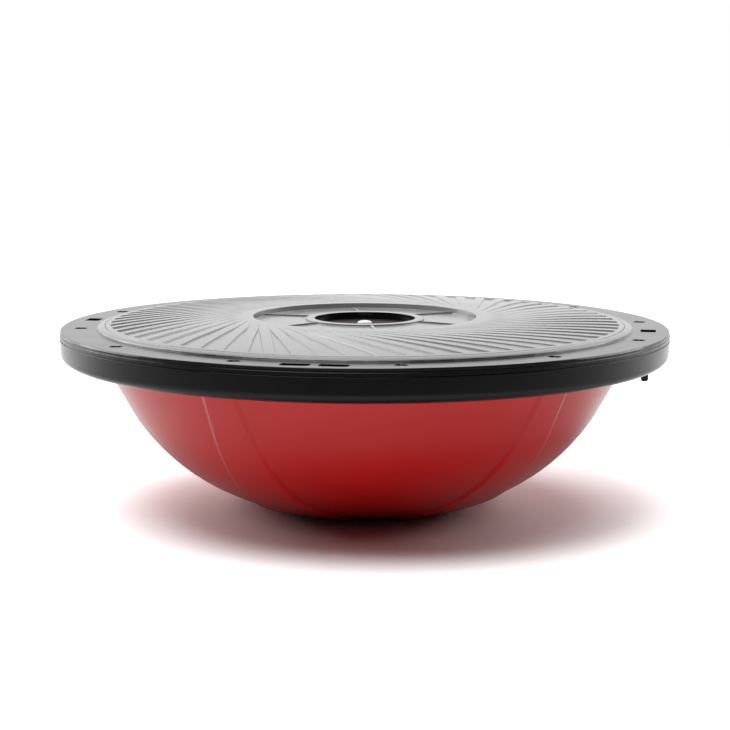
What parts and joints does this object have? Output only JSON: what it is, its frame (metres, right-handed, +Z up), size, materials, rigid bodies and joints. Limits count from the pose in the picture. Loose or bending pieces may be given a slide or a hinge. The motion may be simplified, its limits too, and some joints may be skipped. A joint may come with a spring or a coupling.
{
  "type": "half ball balance trainer",
  "caption": "Inflated half ball under a round ridged standing platform, with a centre air plug, screwed clamp ring, strap slots and band anchors.",
  "frame": {"origin": "centre of the dome's contact patch on the floor, under the middle of the platform", "axes": "+Z up through the air plug, X through the two band anchors, Y through the two pairs of strap slots"},
  "size_m": [0.58, 0.58, 0.1819],
  "materials": {
    "plate_plastic": "satin grey moulded plastic, ridged on the board; its flat ring and edge are glossy black",
    "ring_plastic": "smooth black moulded plastic",
    "dome_vinyl": "satin red inflated vinyl",
    "plug_plastic": "smooth white moulded plastic",
    "anchor_plastic": "smooth black moulded plastic",
    "screw_steel": "dark blackened steel"
  },
  "bodies": {
    "trainer": {"top_plate": "plate_plastic", "clamp_ring": "ring_plastic", "dome": "dome_vinyl", "band_anchor_right": "anchor_plastic", "band_anchor_left": "anchor_plastic", "screw_01": "screw_steel", "screw_02": "screw_steel", "screw_03": "screw_steel", "screw_04": "screw_steel", "screw_05": "screw_steel", "screw_06": "screw_steel", "screw_07": "screw_steel", "screw_08": "screw_steel", "screw_09": "screw_steel", "screw_10": "screw_steel", "screw_11": "screw_steel", "screw_12": "screw_steel"},
    "plug": {"air_plug": "plug_plastic"}
  },
  "joints": [
    {"name": "plug_pull", "type": "slide", "parent": "trainer", "child": "plug", "axis": [0, 0, 1], "range_m": [0, 0.03]}
  ]
}
